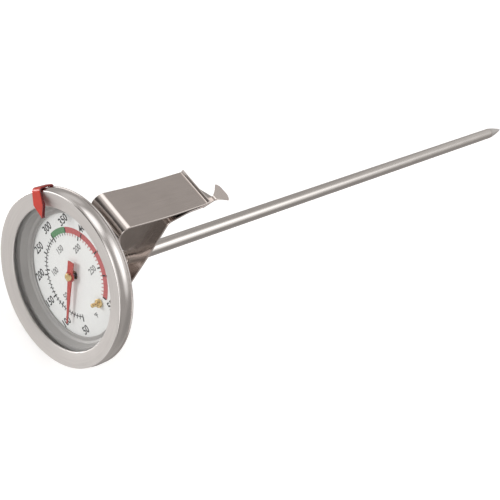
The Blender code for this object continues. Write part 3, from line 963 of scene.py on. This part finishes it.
def soft_lobe(tree, direction_socket, towards, inner, outer, strength):
    """Brightness of a soft round patch of the studio, from two angles round its direction."""
    aim = add_node(tree, "ShaderNodeVectorMath", operation="DOT_PRODUCT")
    tree.links.new(direction_socket, aim.inputs[0])
    aim.inputs[1].default_value = Vector(towards).normalized()
    fade = add_node(tree, "ShaderNodeMapRange", interpolation_type="SMOOTHSTEP")
    fade.inputs["From Min"].default_value = math.cos(math.radians(outer))
    fade.inputs["From Max"].default_value = math.cos(math.radians(inner))
    fade.inputs["To Max"].default_value = strength
    tree.links.new(aim.outputs["Value"], fade.inputs["Value"])
    return fade.outputs["Result"]


def add_studio():
    """White surroundings for the eye, and soft grey ones with lighter and darker patches for the metal."""
    world = bpy.data.worlds.new("studio")
    world.use_nodes = True
    tree = world.node_tree
    tree.nodes.clear()
    direction = add_node(tree, "ShaderNodeTexCoord").outputs["Generated"]
    brightness = None
    for towards, inner, outer, strength in STUDIO_PATCHES:
        patch = soft_lobe(tree, direction, towards, inner, outer, strength)
        brightness = patch if brightness is None else calculate(tree, "ADD", brightness, patch)
    brightness = calculate(tree, "MAXIMUM", calculate(tree, "ADD", brightness, STUDIO_GREY), STUDIO_DARKEST)
    studio = add_node(tree, "ShaderNodeBackground")
    tint = add_node(tree, "ShaderNodeMix", data_type="RGBA")
    tree.links.new(calculate(tree, "DIVIDE", STUDIO_GREY, brightness), tint.inputs["Factor"])
    tint.inputs["A"].default_value = (1.0, 1.0, 1.0, 1.0)
    tint.inputs["B"].default_value = (*STUDIO_TINT, 1.0)
    tree.links.new(tint.outputs["Result"], studio.inputs["Color"])
    tree.links.new(brightness, studio.inputs["Strength"])
    paper = add_node(tree, "ShaderNodeBackground")
    paper.inputs["Color"].default_value = (1.0, 1.0, 1.0, 1.0)
    rays = add_node(tree, "ShaderNodeLightPath")
    choice = add_node(tree, "ShaderNodeMixShader")
    tree.links.new(rays.outputs["Is Camera Ray"], choice.inputs[0])
    tree.links.new(studio.outputs[0], choice.inputs[1])
    tree.links.new(paper.outputs[0], choice.inputs[2])
    output = add_node(tree, "ShaderNodeOutputWorld")
    tree.links.new(choice.outputs[0], output.inputs["Surface"])
    bpy.context.scene.world = world


def add_floor():
    """Plain pale floor under the object."""
    builder = bmesh.new()
    bmesh.ops.create_grid(builder, x_segments=1, y_segments=1, size=3.0)
    mesh = bpy.data.meshes.new("floor")
    builder.to_mesh(mesh)
    builder.free()
    floor = bpy.data.objects.new("floor", mesh)
    floor.location.z = FLOOR_HEIGHT
    bpy.context.scene.collection.objects.link(floor)
    material, _, shader = new_material("pale_floor", (0.9, 0.9, 0.9), 0.0, 0.8)
    shader.inputs["Emission Color"].default_value = (1.0, 1.0, 1.0, 1.0)
    shader.inputs["Emission Strength"].default_value = FLOOR_GLOW
    mesh.materials.append(material)
    floor.visible_glossy = False
    floor.visible_diffuse = False


def give(node_names, material):
    """Give CAD nodes that stay a better material."""
    for name in node_names:
        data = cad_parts[name].data
        data.materials.clear()
        data.materials.append(material)


def main():
    """Build every piece."""
    bezel_face = turned_steel("bezel_brushed", (0.75, 0.72, 0.70), 0.46)
    bezel_rim = turned_steel("bezel_polished", (0.76, 0.73, 0.715), 0.2, height=0.000004)
    case_steel = turned_steel("case_steel", (0.68, 0.65, 0.63), 0.34, along=1.5)
    stem_steel = drawn_steel("stem_steel", (0.70, 0.67, 0.645), 0.2, (3000.0, 40.0, 3000.0))
    tip_steel = turned_steel("tip_steel", (0.62, 0.60, 0.585), 0.32, depth=3600.0, height=0.00002)
    clip_steel = drawn_steel("clip_steel", (0.715, 0.655, 0.625), 0.16, (2600.0, 90.0, 160.0))
    aluminium = speckled("inner_ring_aluminium", (0.46, 0.45, 0.44), 0.3, 0.5, 900.0, 0.04)
    enamel = speckled("dial_enamel", (0.82, 0.83, 0.82), 0.0, 0.4, 700.0, 0.02)
    brass = speckled("brass", (0.80, 0.60, 0.30), 1.0, 0.26, 900.0, 0.12)
    pointer_red = speckled("pointer_red", (0.47, 0.06, 0.05), 0.0, 0.38, 1500.0, 0.08)
    marker_red = speckled("marker_red", (0.48, 0.03, 0.014), 0.0, 0.14, 500.0, 0.08)
    # A darker copy of the marker's red: painted shade for the marker's side walls
    marker_sides_painted_shade = speckled("marker_sides_painted_shade", (0.16, 0.008, 0.012), 0.0, 0.2, 500.0, 0.08)
    black_ink = speckled("black_ink", (0.025, 0.025, 0.028), 0.0, 0.5, 1800.0, 0.2)
    grey_ink = speckled("grey_ink", (0.2, 0.2, 0.2), 0.0, 0.5, 1800.0, 0.15)
    green_ink = speckled("green_ink", (0.11, 0.27, 0.13), 0.0, 0.45, 1500.0, 0.08)
    red_ink = speckled("red_ink", (0.49, 0.12, 0.12), 0.0, 0.45, 1500.0, 0.08)
    rubber = speckled("seal_rubber", (0.30, 0.295, 0.29), 0.0, 0.6, 900.0, 0.1, 0.00002)
    bimetal = drawn_steel("bimetal", (0.45, 0.41, 0.38), 0.38, (1500.0, 1500.0, 1500.0))
    shaft_steel = drawn_steel("shaft_steel", (0.55, 0.54, 0.53), 0.25, (4000.0, 60.0, 4000.0))

    make_bezel(bezel_face, bezel_rim)
    make_lens(clear_glass("window_glass"))
    make_inner_ring(aluminium)
    make_dial(enamel)
    make_case(case_steel)
    make_collar(case_steel)
    make_stem(stem_steel, tip_steel)
    make_stop_pin(brass)
    make_scale(black_ink, green_ink, red_ink)
    make_numbers(black_ink, grey_ink)
    make_pointer(pointer_red, brass)
    make_rim_marker(marker_red, marker_sides_painted_shade)
    make_pan_clip(clip_steel)
    give(["lens_gasket"], rubber)
    give(["upper_shaft_guide", "lower_shaft_guide", "coil_anchor", "coil_hub"], brass)
    give(["bimetal_coil"], bimetal)
    give(["pointer_shaft"], shaft_steel)

    add_camera()
    add_studio()
    add_floor()
    key_light = add_soft_light("key_light", KEY_LIGHT_DIRECTION, KEY_LIGHT_DISTANCE,
                               KEY_LIGHT_SIZE, KEY_LIGHT_POWER)
    key_light.visible_glossy = False
    bpy.context.scene.view_settings.view_transform = "Standard"


main()
